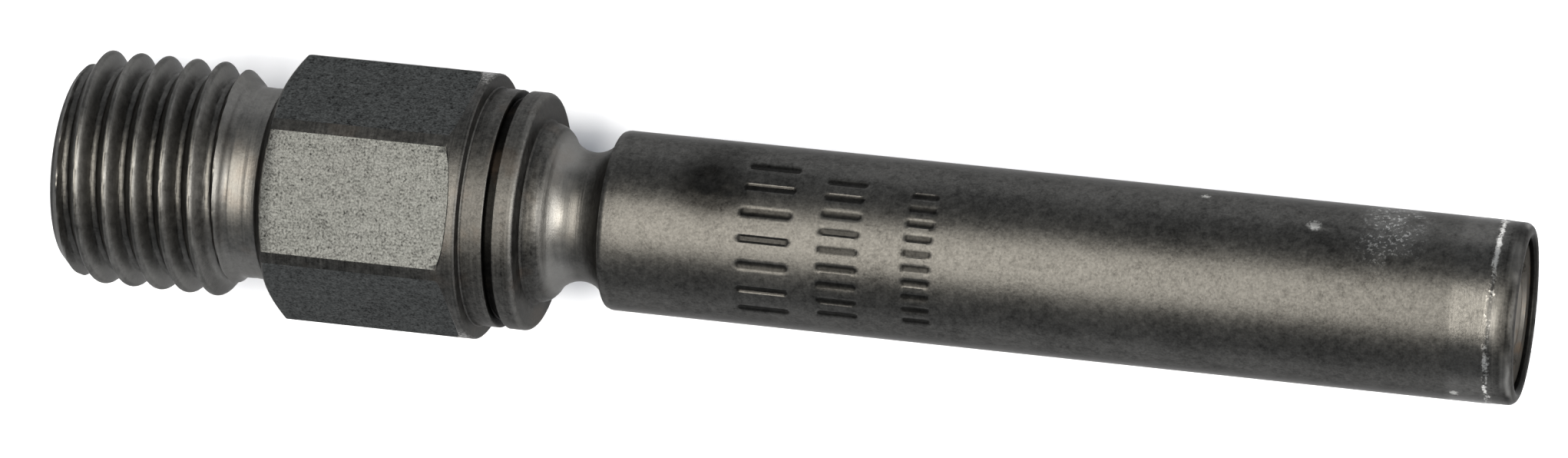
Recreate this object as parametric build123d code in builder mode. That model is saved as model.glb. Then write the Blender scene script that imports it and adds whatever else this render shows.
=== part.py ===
from build123d import *
import math
import os

os.makedirs("parts", exist_ok=True)

# ---- driving dimensions, mm. The injector lies along X: inlet face at X = 0, tip at +X.
overall_length = 74.5

thread_pitch = 1.5
thread_major_r = 5.95
thread_depth = 0.84
thread_root_flat = 0.24
thread_chamfer = 1.0
thread_end_x = 7.75
thread_shoulder_x = 8.13

undercut_r = 4.87
undercut_start_x = 9.0
undercut_end_x = 10.85

hex_across_flats = 12.0
bar_r = 6.75
hex_corner_start_x = 11.65
hex_flat_end_x = 21.27
hex_cutter_r = 9.8
flange_end_x = 21.75

collar_r = 6.03
collar_groove_x = 23.2
collar_groove_width = 0.5
collar_groove_depth = 0.45
collar_end_x = 24.5
collar_round = 0.3

land_r = 4.55
land_end_x = 25.38
seal_groove_r = 1.6
seal_groove_bottom_r = 3.27
barrel_start_x = 28.5
barrel_r = 4.55

crimp_start_x = 73.0
crimp_r = 4.51
lip_round = 0.45
mouth_r = 3.76
mouth_flare = 0.24
mouth_flare_length = 0.17

inlet_cone_r = 4.3
inlet_bore_r = 3.5
inlet_cone_length = 1.386
inlet_bore_end_x = 5.0
filter_bore_r = 3.3
filter_bore_end_x = 14.2
passage_r = 1.6
spring_chamber_start_x = 45.0
spring_chamber_r = 3.1
pocket_start_x = 60.0
pocket_r = 3.9

press_gap = 0.01
running_gap = 0.03

ring_end_x = 6.4
ring_inner_r = 2.0
mesh_outer_r = 2.3
mesh_inner_r = 2.18
cage_outer_r = 2.75
cage_rim_width = 0.7
cage_rib_width = 0.7
cage_rib_count = 4
mesh_end_x = 12.4
cap_end_x = 13.3

washer_end_x = 60.5
nozzle_end_x = 74.15
nozzle_chamfer = 0.3
guide_boss_start_x = 57.5
guide_boss_r = 1.78
nozzle_bush_bore_r = 1.4
gallery_start_x = 64.0
gallery_r = 1.15
seat_start_x = 73.1
outlet_recess_r = 2.5
outlet_recess_depth = 0.25

stem_r = 0.8
head_r = 1.75
seat_gap = 0.015
lift = 0.25
bush_start_x = 57.5
bush_end_x = 63.8
bush_slot_width = 0.5
bush_slot_depth = 0.3
bush_slot_count = 3

shim_start_x = 60.2
shim_inner_r = 1.85
shim_outer_r = 2.95
spring_start_x = 49.5
spring_mean_r = 2.35
spring_wire_r = 0.3
spring_turns = 7.5
plate_start_x = 48.2
plate_r = 2.8
plate_nose_r = 1.6
plate_nose_bore_r = 0.95
collet_start_x = 47.8
collet_small_r = 1.1
collet_large_r = 1.45
collet_split = 0.12
neck_r = 0.55
neck_start_x = 48.0
neck_end_x = 49.0
stem_start_x = 47.2


# ---- injector body: thread, undercut, hexagon, collars, seal groove, barrel and crimped lip
flat_distance = hex_across_flats / 2
groove_a = collar_groove_x - collar_groove_width / 2
groove_b = collar_groove_x + collar_groove_width / 2
cove_middle_x = (land_end_x + barrel_start_x) / 2
wire_margin = 0.15
groove_half_top = (thread_pitch - thread_pitch / 8) / 2 + wire_margin * math.tan(math.radians(30))

flat_planes = [
    Plane(
        origin=(0, flat_distance * math.cos(angle), flat_distance * math.sin(angle)),
        x_dir=(1, 0, 0),
        z_dir=(0, math.cos(angle), math.sin(angle)),
    )
    for angle in [math.radians(30 + 60 * k) for k in range(6)]
]

with BuildPart() as injector_body:
    with BuildSketch(Plane.XY) as turned_outline:
        with BuildLine() as outline:
            Polyline(
                (0, 0),
                (0, thread_major_r - thread_chamfer),
                (thread_chamfer, thread_major_r),
                (thread_shoulder_x, thread_major_r),
                (undercut_start_x - 0.1, undercut_r + 0.38),
            )
            ThreePointArc(
                (undercut_start_x - 0.1, undercut_r + 0.38),
                (undercut_start_x + 0.13, undercut_r + 0.13),
                (undercut_start_x + 0.45, undercut_r),
            )
            Polyline(
                (undercut_start_x + 0.45, undercut_r),
                (undercut_end_x, undercut_r),
                (hex_corner_start_x, bar_r),
                (flange_end_x, bar_r),
                (flange_end_x, collar_r),
                (groove_a, collar_r),
                (groove_a, collar_r - collar_groove_depth),
                (groove_b, collar_r - collar_groove_depth),
                (groove_b, collar_r),
                (collar_end_x - collar_round, collar_r),
            )
            ThreePointArc(
                (collar_end_x - collar_round, collar_r),
                (
                    collar_end_x - collar_round * (1 - math.sin(math.radians(45))),
                    collar_r - collar_round * (1 - math.cos(math.radians(45))),
                ),
                (collar_end_x, collar_r - collar_round),
            )
            Polyline(
                (collar_end_x, collar_r - collar_round),
                (collar_end_x, land_r),
                (land_end_x, land_r),
            )
            ThreePointArc(
                (land_end_x, land_r),
                (cove_middle_x, seal_groove_bottom_r),
                (barrel_start_x, barrel_r),
            )
            Polyline(
                (barrel_start_x, barrel_r),
                (crimp_start_x, barrel_r),
                (overall_length - lip_round, crimp_r),
            )
            ThreePointArc(
                (overall_length - lip_round, crimp_r),
                (
                    overall_length - lip_round * (1 - math.sin(math.radians(45))),
                    crimp_r - lip_round * (1 - math.cos(math.radians(45))),
                ),
                (overall_length, crimp_r - lip_round),
            )
            Polyline(
                (overall_length, crimp_r - lip_round),
                (overall_length, 0),
                (0, 0),
            )
        make_face()
    revolve(axis=Axis.X)

    with BuildSketch(*flat_planes) as hex_cuts:
        with BuildLine() as cut_outline:
            Line((10.0, -5.0), (10.0, 5.0))
            Line((10.0, 5.0), (hex_flat_end_x - hex_cutter_r + math.sqrt(hex_cutter_r**2 - 25.0), 5.0))
            ThreePointArc(
                (hex_flat_end_x - hex_cutter_r + math.sqrt(hex_cutter_r**2 - 25.0), 5.0),
                (hex_flat_end_x, 0),
                (hex_flat_end_x - hex_cutter_r + math.sqrt(hex_cutter_r**2 - 25.0), -5.0),
            )
            Line((hex_flat_end_x - hex_cutter_r + math.sqrt(hex_cutter_r**2 - 25.0), -5.0), (10.0, -5.0))
        make_face()
    extrude(amount=2.0, mode=Mode.SUBTRACT)

    with BuildSketch(Plane.XY) as bore_outline:
        with BuildLine() as bore:
            Polyline(
                (-1.0, 0),
                (-1.0, inlet_cone_r),
                (0, inlet_cone_r),
                (inlet_cone_length, inlet_bore_r),
                (inlet_bore_end_x, inlet_bore_r),
                (inlet_bore_end_x, filter_bore_r),
                (filter_bore_end_x, filter_bore_r),
                (filter_bore_end_x + 1.0, passage_r),
                (spring_chamber_start_x, passage_r),
                (spring_chamber_start_x + 0.9, spring_chamber_r),
                (pocket_start_x, spring_chamber_r),
                (pocket_start_x, pocket_r),
                (nozzle_end_x - nozzle_chamfer + 0.02, pocket_r),
                (nozzle_end_x - 0.08, mouth_r),
                (overall_length - mouth_flare_length, mouth_r),
                (overall_length, mouth_r + mouth_flare),
                (overall_length + 1.0, mouth_r + mouth_flare),
                (overall_length + 1.0, 0),
                (-1.0, 0),
            )
        make_face()
    revolve(axis=Axis.X, mode=Mode.SUBTRACT)

    with BuildLine() as thread_path:
        Helix(
            pitch=thread_pitch,
            height=thread_end_x + thread_pitch,
            radius=thread_major_r,
            center=(-thread_pitch, 0, 0),
            direction=(1, 0, 0),
        )
    thread_start = thread_path.line @ 0
    with BuildSketch(
        Plane(
            origin=thread_start,
            x_dir=(0, thread_start.Y, thread_start.Z),
            z_dir=thread_path.line % 0,
        )
    ) as thread_form:
        with BuildLine() as thread_outline:
            Polyline(
                (-thread_depth, -thread_root_flat / 2),
                (-thread_depth, thread_root_flat / 2),
                (wire_margin, groove_half_top),
                (wire_margin, -groove_half_top),
                (-thread_depth, -thread_root_flat / 2),
            )
        make_face()
    sweep(path=thread_path.line, is_frenet=True, mode=Mode.SUBTRACT)

injector_body.part.label = "injector_body"
export_step(injector_body.part, "parts/injector_body.step")


# ---- inlet filter: pressed ring, ribbed cage, gauze sleeve and end cap
with BuildPart() as filter_ring:
    with BuildSketch(Plane.XY) as ring_outline:
        with BuildLine() as ring_line:
            Polyline(
                (inlet_bore_end_x, ring_inner_r + 0.35),
                (inlet_bore_end_x + 0.3, ring_inner_r),
                (ring_end_x, ring_inner_r),
                (ring_end_x, filter_bore_r - press_gap),
                (inlet_bore_end_x + 0.2, filter_bore_r - press_gap),
                (inlet_bore_end_x, filter_bore_r - press_gap - 0.2),
                (inlet_bore_end_x, ring_inner_r + 0.35),
            )
        make_face()
    revolve(axis=Axis.X)
filter_ring.part.label = "filter_ring"
export_step(filter_ring.part, "parts/filter_ring.step")

with BuildPart() as filter_cage:
    with BuildSketch(Plane.YZ.offset(ring_end_x)) as front_rim:
        Circle(cage_outer_r)
        Circle(mesh_outer_r, mode=Mode.SUBTRACT)
    extrude(amount=cage_rim_width)
    with BuildSketch(Plane.YZ.offset(mesh_end_x - cage_rim_width)) as rear_rim:
        Circle(cage_outer_r)
        Circle(mesh_outer_r, mode=Mode.SUBTRACT)
    extrude(amount=cage_rim_width)
    with BuildSketch(Plane.YZ.offset(ring_end_x)) as ribs:
        with PolarLocations((mesh_outer_r + cage_outer_r) / 2, cage_rib_count, start_angle=45):
            Rectangle(cage_outer_r - mesh_outer_r - 0.06, cage_rib_width)
        Circle(mesh_outer_r, mode=Mode.SUBTRACT)
    extrude(amount=mesh_end_x - ring_end_x)
filter_cage.part.label = "filter_cage"
export_step(filter_cage.part, "parts/filter_cage.step")

with BuildPart() as filter_mesh:
    with BuildSketch(Plane.YZ.offset(ring_end_x)) as mesh_section:
        Circle(mesh_outer_r)
        Circle(mesh_inner_r, mode=Mode.SUBTRACT)
    extrude(amount=mesh_end_x - ring_end_x)
filter_mesh.part.label = "filter_mesh"
export_step(filter_mesh.part, "parts/filter_mesh.step")

with BuildPart() as filter_cap:
    with BuildSketch(Plane.YZ.offset(mesh_end_x)) as cap_section:
        Circle(cage_outer_r - 0.1)
    extrude(amount=cap_end_x - mesh_end_x)
    fillet(filter_cap.edges().filter_by(GeomType.CIRCLE).sort_by(Axis.X)[-1], radius=0.5)
    with BuildSketch(Plane.YZ.offset(mesh_end_x - 0.8)) as cap_plug:
        Circle(mesh_inner_r)
    extrude(amount=0.8)
filter_cap.part.label = "filter_cap"
export_step(filter_cap.part, "parts/filter_cap.step")


# ---- nozzle: sealing washer, valve body, guide bush
with BuildPart() as sealing_washer:
    with BuildSketch(Plane.YZ.offset(pocket_start_x)) as washer_section:
        Circle(pocket_r - 0.05)
        Circle(spring_chamber_r + 0.05, mode=Mode.SUBTRACT)
    extrude(amount=washer_end_x - pocket_start_x)
sealing_washer.part.label = "sealing_washer"
export_step(sealing_washer.part, "parts/sealing_washer.step")

seat_length = nozzle_end_x - outlet_recess_depth - seat_start_x
seat_outer_r = gallery_r + seat_length

with BuildPart() as nozzle_body:
    with BuildSketch(Plane.XY) as nozzle_outline:
        with BuildLine() as nozzle_line:
            Polyline(
                (guide_boss_start_x, nozzle_bush_bore_r),
                (guide_boss_start_x, guide_boss_r - 0.1),
                (guide_boss_start_x + 0.1, guide_boss_r),
                (washer_end_x, guide_boss_r),
                (washer_end_x, pocket_r - press_gap),
                (nozzle_end_x - nozzle_chamfer, pocket_r - press_gap),
                (nozzle_end_x, pocket_r - press_gap - nozzle_chamfer),
                (nozzle_end_x, outlet_recess_r),
                (nozzle_end_x - outlet_recess_depth, outlet_recess_r - outlet_recess_depth),
                (nozzle_end_x - outlet_recess_depth, seat_outer_r),
                (seat_start_x, gallery_r),
                (gallery_start_x, gallery_r),
                (gallery_start_x, nozzle_bush_bore_r),
                (guide_boss_start_x, nozzle_bush_bore_r),
            )
        make_face()
    revolve(axis=Axis.X)
nozzle_body.part.label = "nozzle_body"
export_step(nozzle_body.part, "parts/nozzle_body.step")

with BuildPart() as guide_bush:
    with BuildSketch(Plane.YZ.offset(bush_start_x)) as bush_section:
        Circle(nozzle_bush_bore_r - press_gap)
        Circle(stem_r + running_gap, mode=Mode.SUBTRACT)
        with PolarLocations(nozzle_bush_bore_r, bush_slot_count):
            Rectangle(2 * bush_slot_depth, bush_slot_width, mode=Mode.SUBTRACT)
    extrude(amount=bush_end_x - bush_start_x)
guide_bush.part.label = "guide_bush"
export_step(guide_bush.part, "parts/guide_bush.step")


# ---- moving set: needle, spring plate and split collet; closing spring and its shim
head_start_x = seat_start_x + (stem_r - gallery_r) + 2 * seat_gap
head_end_x = head_start_x + (head_r - stem_r)

with BuildPart() as valve_needle:
    with BuildSketch(Plane.XY) as needle_outline:
        with BuildLine() as needle_line:
            Polyline(
                (stem_start_x, 0),
                (stem_start_x, stem_r - 0.15),
                (stem_start_x + 0.15, stem_r),
                (neck_start_x, stem_r),
                (neck_start_x, neck_r),
                (neck_end_x, neck_r),
                (neck_end_x, stem_r),
                (head_start_x, stem_r),
                (head_end_x, head_r),
                (head_end_x + 0.22, head_r),
                (head_end_x + 0.32, head_r - 0.1),
                (head_end_x + 0.32, 0),
                (stem_start_x, 0),
            )
        make_face()
    revolve(axis=Axis.X)
valve_needle.part.label = "valve_needle"
export_step(valve_needle.part, "parts/valve_needle.step")

plate_nose_end_x = bush_start_x - lift - 0.02
collet_end_x = neck_end_x + 0.3

with BuildPart() as spring_plate:
    with BuildSketch(Plane.XY) as plate_outline:
        with BuildLine() as plate_line:
            Polyline(
                (plate_start_x, collet_large_r),
                (plate_start_x, plate_r - 0.2),
                (plate_start_x + 0.2, plate_r),
                (spring_start_x - 0.02, plate_r),
                (spring_start_x - 0.02, plate_nose_r),
                (plate_nose_end_x, plate_nose_r),
                (plate_nose_end_x, plate_nose_bore_r),
                (collet_end_x, plate_nose_bore_r),
                (collet_end_x, collet_small_r),
                (plate_start_x, collet_large_r),
            )
        make_face()
    revolve(axis=Axis.X)
spring_plate.part.label = "spring_plate"
export_step(spring_plate.part, "parts/spring_plate.step")

collet_slope = (collet_large_r - collet_small_r) / (collet_end_x - plate_start_x)
collet_rear_r = collet_large_r + collet_slope * (plate_start_x - collet_start_x) - press_gap
collet_half_slot = collet_split / 2

with BuildPart() as retainer_half_a:
    with BuildSketch(Plane.XY) as collet_outline_a:
        with BuildLine() as collet_line_a:
            Polyline(
                (collet_start_x, stem_r + press_gap),
                (collet_start_x, collet_rear_r),
                (collet_end_x, collet_small_r - press_gap),
                (collet_end_x, stem_r + press_gap),
                (neck_end_x - press_gap, stem_r + press_gap),
                (neck_end_x - press_gap, neck_r + press_gap),
                (neck_start_x + press_gap, neck_r + press_gap),
                (neck_start_x + press_gap, stem_r + press_gap),
                (collet_start_x, stem_r + press_gap),
            )
        make_face()
    revolve(axis=Axis.X)
    with Locations((collet_start_x, 0, -5.0 + collet_half_slot)):
        Box(10, 10, 10, mode=Mode.SUBTRACT)
retainer_half_a.part.label = "retainer_half_a"
export_step(retainer_half_a.part, "parts/retainer_half_a.step")

with BuildPart() as retainer_half_b:
    add(retainer_half_a.part.mirror(Plane.XY))
retainer_half_b.part.label = "retainer_half_b"
export_step(retainer_half_b.part, "parts/retainer_half_b.step")

with BuildPart() as preload_shim:
    with BuildSketch(Plane.YZ.offset(shim_start_x)) as shim_section:
        Circle(shim_outer_r)
        Circle(shim_inner_r, mode=Mode.SUBTRACT)
    extrude(amount=washer_end_x - shim_start_x)
preload_shim.part.label = "preload_shim"
export_step(preload_shim.part, "parts/preload_shim.step")

spring_first_x = spring_start_x + spring_wire_r + 0.01
spring_last_x = shim_start_x - spring_wire_r - 0.01
spring_height = spring_last_x - spring_first_x

with BuildPart() as closing_spring:
    with BuildLine() as spring_path:
        Helix(
            pitch=spring_height / spring_turns,
            height=spring_height,
            radius=spring_mean_r,
            center=(spring_first_x, 0, 0),
            direction=(1, 0, 0),
        )
    with BuildSketch(Plane(origin=spring_path.line @ 0, z_dir=spring_path.line % 0)) as wire:
        Circle(spring_wire_r)
    sweep(path=spring_path.line, is_frenet=True)
closing_spring.part.label = "closing_spring"
export_step(closing_spring.part, "parts/closing_spring.step")
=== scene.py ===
import math

import bpy
import bmesh
import numpy as np
from mathutils import Matrix, Vector


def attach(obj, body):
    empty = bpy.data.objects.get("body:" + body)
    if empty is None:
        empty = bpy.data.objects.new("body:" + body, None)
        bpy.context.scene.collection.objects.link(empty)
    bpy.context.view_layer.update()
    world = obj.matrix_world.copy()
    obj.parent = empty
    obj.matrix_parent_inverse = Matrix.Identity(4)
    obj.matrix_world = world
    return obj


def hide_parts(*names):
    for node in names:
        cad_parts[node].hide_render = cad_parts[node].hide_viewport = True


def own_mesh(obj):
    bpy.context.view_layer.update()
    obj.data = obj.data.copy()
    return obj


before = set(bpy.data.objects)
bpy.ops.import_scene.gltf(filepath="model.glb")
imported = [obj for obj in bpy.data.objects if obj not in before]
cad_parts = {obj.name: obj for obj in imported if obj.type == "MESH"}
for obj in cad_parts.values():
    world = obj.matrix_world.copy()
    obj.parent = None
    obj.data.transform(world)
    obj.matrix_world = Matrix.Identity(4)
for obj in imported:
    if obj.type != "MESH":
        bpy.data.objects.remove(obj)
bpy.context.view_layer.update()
MM = 0.001

# ---- sizes of the turned body, in mm along and out from the axis
FLAT_DISTANCE = 6.0
BAR_RADIUS = 6.747
FLAT_HALF_ANGLE = math.acos(FLAT_DISTANCE / BAR_RADIUS)
SIXTH_TURN = math.pi / 3
HEX_FACE_X = 10.85
HEX_CORNER_X = 11.65
UNDERCUT_RADIUS = 4.87
FLAT_END_X = 21.27
CUTTER_RADIUS = 9.8
CUTTER_REACH = 3.09
COLLAR_RADIUS = 6.03
COLLAR_GROOVE_X = 23.2
COLLAR_GROOVE_DEPTH = 0.45
COLLAR_END_X = 24.5
COLLAR_ROUND = 0.3
COVE_X, COVE_CENTRE, COVE_ROUND = 26.94, 4.86, 1.59
BARREL_RADIUS = 4.55
THREAD_MAJOR = 5.95
THREAD_ROW_STEP = 0.0635
FLANK_SLOPE = 1.732  # of a 60 degree thread
SHOULDER_X = 8.13
CONE_LENGTH, CONE_DROP = 0.77, 0.7
CRIMP_X = 73.15
LIP_X, LIP_CENTRE, LIP_ROUND = 74.05, 4.06, 0.45
BORE_SIDE, OUTER_SIDE = 4.3, 4.4  # radii between which a surface turns from bore to outside


# ---- node helpers
def node(tree, kind, **settings):
    """One node of a tree, with its own settings."""
    made = tree.nodes.new(kind)
    for key, value in settings.items():
        setattr(made, key, value)
    return made


def feed(tree, socket, term):
    """Gives a socket a number, a colour or another socket's value."""
    if isinstance(term, bpy.types.NodeSocket):
        tree.links.new(term, socket)
    else:
        socket.default_value = term


def calc(tree, operation, *terms, clamp=False):
    """A Math node; each term is a socket or a number."""
    made = node(tree, "ShaderNodeMath", operation=operation, use_clamp=clamp)
    for socket, term in zip(made.inputs, terms):
        feed(tree, socket, term)
    return made.outputs[0]


def total(tree, *terms):
    result = terms[0]
    for term in terms[1:]:
        result = calc(tree, "ADD", result, term)
    return result


def product(tree, *terms):
    result = terms[0]
    for term in terms[1:]:
        result = calc(tree, "MULTIPLY", result, term)
    return result


def glide(tree, value, start, end, low=0.0, high=1.0):
    """Runs smoothly from low to high as value goes from start to end."""
    made = node(tree, "ShaderNodeMapRange", interpolation_type="SMOOTHSTEP")
    ends = {"Value": value, "From Min": start, "From Max": end, "To Min": low, "To Max": high}
    for label, term in ends.items():
        feed(tree, made.inputs[label], term)
    return made.outputs[0]


def band(tree, value, start, end, soft):
    """1 between start and end, with soft edges."""
    rise = glide(tree, value, start - soft, start + soft)
    return product(tree, rise, glide(tree, value, end + soft, end - soft))


def vector(tree, x, y, z):
    made = node(tree, "ShaderNodeCombineXYZ")
    for socket, term in zip(made.inputs, (x, y, z)):
        feed(tree, socket, term)
    return made.outputs[0]


class Place:
    """Where a point is, in mm: x along the axis, y, z and the radius.

    The turn round the axis is kept as its sine and cosine.
    """

    def __init__(self, tree, spot):
        scaled = node(tree, "ShaderNodeVectorMath", operation="SCALE")
        scaled.inputs["Scale"].default_value = 1000.0
        tree.links.new(spot, scaled.inputs[0])
        parts = node(tree, "ShaderNodeSeparateXYZ")
        tree.links.new(scaled.outputs[0], parts.inputs[0])
        self.spot = scaled.outputs[0]
        self.x, self.y, self.z = parts.outputs
        squares = total(tree, product(tree, self.y, self.y), product(tree, self.z, self.z))
        self.radius = calc(tree, "SQRT", squares)
        self.sine = calc(tree, "DIVIDE", self.y, self.radius)
        self.cosine = calc(tree, "DIVIDE", self.z, self.radius)


# ---- the turned body
def around_the_bar(flat_steps, land_steps):
    """Angles round the bar, with one exactly on each edge of each flat."""
    angles = []
    half, land = FLAT_HALF_ANGLE, SIXTH_TURN - 2 * FLAT_HALF_ANGLE
    for side in range(6):
        middle = side * SIXTH_TURN
        angles += list(middle + np.linspace(-half, half, flat_steps, endpoint=False))
        angles += list(middle + half + np.linspace(0, land, land_steps, endpoint=False))
    return np.array(angles)


def nearest_flat(angles):
    return np.round(angles / SIXTH_TURN) * SIXTH_TURN


def hexagon_radius(angles):
    """Radius of the hexagon with its turned corners, at each angle."""
    return np.minimum(FLAT_DISTANCE / np.cos(angles - nearest_flat(angles)), BAR_RADIUS)


def flat_end(angles):
    """Where the milling cutter stopped, at each angle."""
    off_middle = np.abs(angles - nearest_flat(angles))
    across = np.clip(FLAT_DISTANCE * np.tan(off_middle), 0, CUTTER_REACH)
    return FLAT_END_X - CUTTER_RADIUS + np.sqrt(CUTTER_RADIUS**2 - across**2)


def inlet_outline():
    """(x, radius) rows from the inlet face, over the thread and its cone, to the undercut."""
    rows = [(0.0, 4.82), (0.02, 4.93)]
    for x in np.arange(0.08, SHOULDER_X, THREAD_ROW_STEP):
        rows.append((x, min(4.95 + x, THREAD_MAJOR)))
    for x in np.linspace(SHOULDER_X, 8.9, 13):
        rows.append((x, THREAD_MAJOR - (x - SHOULDER_X) / CONE_LENGTH * CONE_DROP))
    for t in np.linspace(0.12, 1, 9):
        rows.append((8.9 + 0.55 * t, UNDERCUT_RADIUS + 0.38 * (1 - t) ** 2))
    rows += [
        (9.7, 4.87), (9.9, 4.86), (10.0, 4.84), (10.1, 4.86), (10.3, 4.87), (10.6, 4.87),
        (10.76, 4.91), (10.86, 5.0),
    ]
    return rows


def collar_outline():
    """(x, radius) rows from the flange's rim to the seal groove."""
    rim, floor = COLLAR_RADIUS, COLLAR_RADIUS - COLLAR_GROOVE_DEPTH
    rows = [
        (21.56, BAR_RADIUS), (21.66, BAR_RADIUS - 0.01), (21.73, BAR_RADIUS - 0.08), (21.75, 6.55),
        (21.755, 6.3), (21.77, 6.1), (21.83, 6.035), (21.95, rim), (22.3, rim), (22.7, rim),
        (22.9, rim), (22.94, rim - 0.03), (22.95, rim - 0.1), (22.97, floor + 0.06),
        (23.02, floor + 0.01), (COLLAR_GROOVE_X, floor), (23.38, floor + 0.01),
        (23.43, floor + 0.06), (23.45, rim - 0.1), (23.46, rim - 0.03), (23.5, rim),
        (23.8, rim), (24.1, rim),
    ]
    for turn in np.radians(np.linspace(0, 90, 10)):
        x = COLLAR_END_X - COLLAR_ROUND + COLLAR_ROUND * math.sin(turn)
        rows.append((x, rim - COLLAR_ROUND + COLLAR_ROUND * math.cos(turn)))
    rows += [
        (COLLAR_END_X, 5.3), (COLLAR_END_X, 4.85), (24.53, 4.7), (24.61, 4.6),
        (24.74, BARREL_RADIUS), (24.88, 4.54), (25.02, 4.51), (25.15, 4.46), (25.27, 4.39),
        (25.38, 4.3),
    ]
    return rows


def seal_groove_outline():
    rows = []
    for turn in np.radians(np.linspace(-64, 76, 31)):
        x = COVE_X + COVE_ROUND * math.sin(turn)
        rows.append((x, COVE_CENTRE - COVE_ROUND * math.cos(turn)))
    return rows


def barrel_outline():
    r = BARREL_RADIUS
    rows = [(28.54, 4.49), (28.62, 4.53), (28.75, r), (29.5, r), (31.0, r)]
    rows += [(x, r) for x in np.arange(32.2, 35.4, 0.16)]
    rows += [(x, r) for x in np.arange(35.4, 45.9, 0.115)]
    rows += [(x, r) for x in (47, 49.5, 52, 55)]
    rows += [(x, r) for x in np.arange(57.6, 58.9, 0.2)] + [(60.5, r), (62.2, r)]
    rows += [(x, r) for x in np.arange(63.0, 64.2, 0.16)]
    rows += [(x, r) for x in (65.5, 68, 70.5, 71.2, 71.5, 71.8, 72.2, 72.75)]
    rows += [
        (73.0, 4.55), (73.1, 4.556), (73.2, 4.55), (73.28, 4.535), (73.4, 4.522), (73.6, 4.518),
        (73.8, 4.515),
    ]
    for turn in np.radians(np.linspace(0, 90, 12)):
        rows.append((LIP_X + LIP_ROUND * math.sin(turn), LIP_CENTRE + LIP_ROUND * math.cos(turn)))
    return rows


def bore_outline():
    """(x, radius) rows back from the mouth to the inlet cone."""
    return [
        (74.49, 4.0), (74.42, 3.88), (74.34, 3.78), (74.3, 3.76), (74.12, 3.76), (74.06, 3.77),
        (73.88, 3.9), (70, 3.9), (60.05, 3.9), (60.0, 3.85), (60.0, 3.15), (59.95, 3.1),
        (46.0, 3.1), (45.9, 3.08), (45.05, 1.68), (45.0, 1.6), (30, 1.6), (15.25, 1.6),
        (15.15, 1.65), (14.25, 3.25), (14.15, 3.3), (5.05, 3.3), (5.0, 3.35), (5.0, 3.45),
        (4.95, 3.5), (1.45, 3.5), (1.35, 3.52), (0.04, 4.28), (0.0, 4.34), (0.0, 4.6),
    ]


def body_rows(angles):
    """Rows of (x, radius) arrays: along the outside to the tip and back through the bore."""
    ones = np.ones_like(angles)
    hexagon = hexagon_radius(angles)
    slope = (HEX_CORNER_X - HEX_FACE_X) / (BAR_RADIUS - UNDERCUT_RADIUS)
    start = HEX_FACE_X + (hexagon - UNDERCUT_RADIUS) * slope
    end = flat_end(angles)
    step = BAR_RADIUS - hexagon
    rows = [(x * ones, r * ones) for x, r in inlet_outline()]
    rows += [(x * ones, r * ones) for x, r in ((11.0, 5.24), (11.15, 5.6))]
    rows.append((start - 0.03, hexagon - 0.06))
    rows.append((start + 0.02, hexagon - 0.015))
    rows.append((start + 0.08, hexagon))
    for share in np.linspace(0.08, 0.94, 12):
        rows.append((start + (end - start) * share, hexagon))
    rows.append((end - 0.05, hexagon))
    rows.append((end - 0.005, hexagon + np.minimum(step, 0.03)))
    rows.append((end, BAR_RADIUS - np.minimum(step, 0.05)))
    rows.append((end + 0.05, BAR_RADIUS * ones))
    for part in (collar_outline(), seal_groove_outline(), barrel_outline(), bore_outline()):
        rows += [(x * ones, r * ones) for x, r in part]
    return rows


# (x, degrees from +Z towards +Y, reach, depth) of small knocks in the barrel, with raised rims
KNOCKS = (
    (33.75, 37, 0.75, 0.09), (64.1, 49, 0.28, 0.05), (58.4, 70, 0.22, 0.05),
    (34.9, 30, 0.35, 0.03), (71.6, -63, 0.3, 0.03),
)
RIM_REACH, RIM_SHARE = 1.15, 0.3


def knock_barrel(x, r, angles):
    """Presses the knocks into the rows of the outside of the barrel."""
    outside = (r > 4.4) & (x > 30)
    for middle, degrees, reach, depth in KNOCKS:
        turned = (angles - math.radians(degrees) + math.pi) % (2 * math.pi) - math.pi
        away = np.hypot(x - middle, turned * BARREL_RADIUS) / reach
        hollow = -depth * np.exp(-(away**2) * 2.2)
        raised_rim = RIM_SHARE * depth * np.exp(-((away - RIM_REACH) ** 2) * 9)
        r = np.where(outside, r + (hollow + raised_rim), r)
    return r


def lathe_mesh(name, rows, angles):
    """A closed ring of rows turned round the axis, angle 0 at +Z and going towards +Y."""
    x = np.array([row[0] for row in rows])
    r = knock_barrel(x, np.array([row[1] for row in rows]), angles[None, :])
    y, z = r * np.sin(angles), r * np.cos(angles)
    verts = np.stack([x, y, z], axis=-1).reshape(-1, 3) * MM
    count, around = x.shape
    i, j = np.meshgrid(np.arange(count), np.arange(around), indexing="ij")
    i2, j2 = (i + 1) % count, (j + 1) % around
    corners = [i * around + j, i2 * around + j, i2 * around + j2, i * around + j2]
    faces = np.stack(corners, axis=-1).reshape(-1, 4)
    mesh = bpy.data.meshes.new(name)
    mesh.from_pydata(verts.tolist(), [], faces.tolist())
    return mesh


def add_object(name, mesh):
    made = bpy.data.objects.new(name, mesh)
    bpy.context.scene.collection.objects.link(made)
    return made


def merge_doubles(mesh, distance):
    work = bmesh.new()
    work.from_mesh(mesh)
    bmesh.ops.remove_doubles(work, verts=work.verts, dist=distance)
    bmesh.ops.dissolve_degenerate(work, dist=distance / 4, edges=work.edges)
    work.to_mesh(mesh)
    work.free()


def face_outwards(mesh):
    work = bmesh.new()
    work.from_mesh(mesh)
    bmesh.ops.recalc_face_normals(work, faces=work.faces)
    work.to_mesh(mesh)
    work.free()


def soften(mesh, degrees):
    mesh.shade_smooth()
    mesh.set_sharp_from_angle(angle=math.radians(degrees))


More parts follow.
